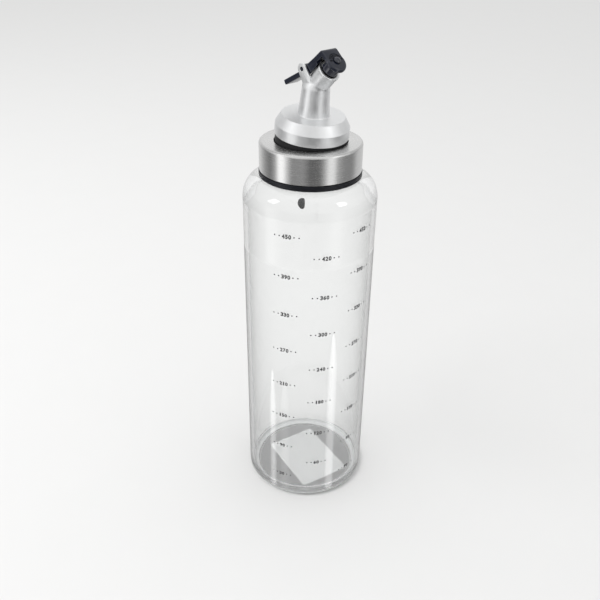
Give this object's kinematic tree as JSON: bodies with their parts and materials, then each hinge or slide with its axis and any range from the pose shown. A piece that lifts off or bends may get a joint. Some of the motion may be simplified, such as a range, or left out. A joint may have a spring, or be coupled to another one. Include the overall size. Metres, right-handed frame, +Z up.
{
  "type": "oil cruet",
  "caption": "Tall cylindrical glass oil bottle with printed scale, brushed steel screw cap and a leaning metal pourer closed by a hinged thumb lever.",
  "frame": {"origin": "centre of the bottle's standing face", "axes": "+Z up along the bottle's axis, +X the way the pourer's mouth points and leans, with the printed scale on the quarter between -Y and +X"},
  "size_m": [0.065, 0.065, 0.2376],
  "materials": {
    "glass": "clear polished",
    "label": "matte white",
    "steel": "brushed round the axis",
    "liner": "satin black",
    "gasket": "translucent white silicone",
    "stopper": "matte black",
    "pourer": "satin plated casting",
    "vent": "matte black",
    "lever": "glossy black",
    "plug": "satin black silicone"
  },
  "bodies": {
    "bottle": {"glass_bottle": "glass", "base_label": "label"},
    "gasket": {"cap_gasket": "gasket"},
    "cap": {"cap_sleeve": "steel", "cap_liner": "liner"},
    "pourer": {"pourer_body": "pourer", "stopper": "stopper", "vent_tube": "vent"},
    "lever": {"lever": "lever", "mouth_plug": "plug"}
  },
  "joints": [
    {"name": "cap_lift", "type": "slide", "parent": "bottle", "child": "gasket", "axis": [0, 0, 1], "range_m": [0, 0.006]},
    {"name": "cap_turn", "type": "hinge", "parent": "gasket", "child": "cap", "pos_m": [0, 0, 0.19], "axis": [0, 0, 1], "range_deg": [0, 540]},
    {"name": "pourer_pull", "type": "slide", "parent": "cap", "child": "pourer", "axis": [0.1045, 0, 0.9945], "range_m": [0, 0.04]},
    {"name": "lever_turn", "type": "hinge", "parent": "pourer", "child": "lever", "pos_m": [-0.00162, 0, 0.2282], "axis": [0, -1, 0], "range_deg": [0, 21]}
  ],
  "couplings": [
    {"joint": "cap_lift", "follows": "cap_turn", "m_per_rad": 0.00063662}
  ]
}
